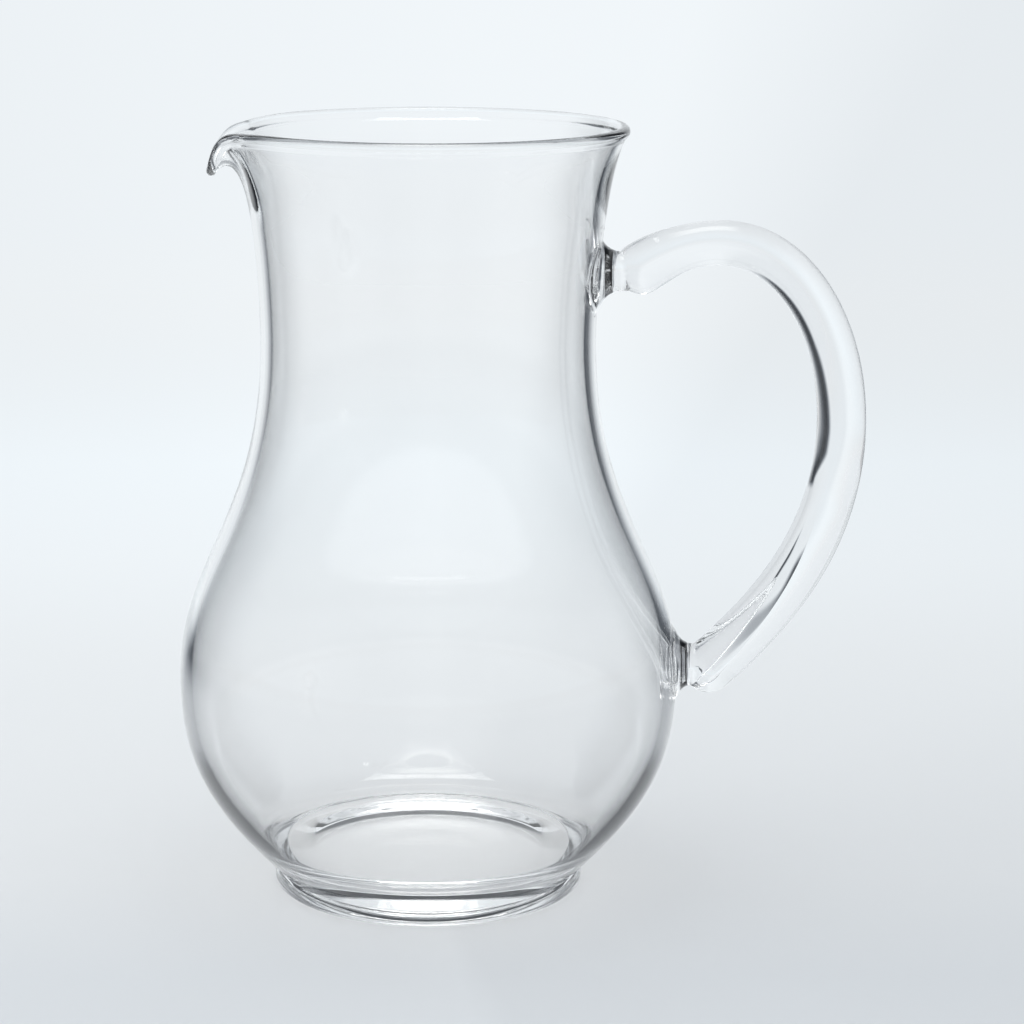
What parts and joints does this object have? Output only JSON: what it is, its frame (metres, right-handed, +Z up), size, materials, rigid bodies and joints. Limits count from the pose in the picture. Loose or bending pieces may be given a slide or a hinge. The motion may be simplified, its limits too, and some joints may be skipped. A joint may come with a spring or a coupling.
{
  "type": "glass carafe",
  "caption": "Clear glass carafe with a pear-shaped belly, a flared mouth, a curled pouring lip and a welded bar handle on one side.",
  "frame": {"origin": "on the vessel's axis, at the plane of the table it rests on", "axes": "+Z up along the vessel's axis, +X towards the handle, so the pouring lip points to -X"},
  "size_m": [0.1933, 0.1412, 0.217],
  "materials": {
    "clear_glass": "clear, fire polished, smooth"
  },
  "bodies": {
    "root": {"carafe": "clear_glass"}
  },
  "joints": []
}
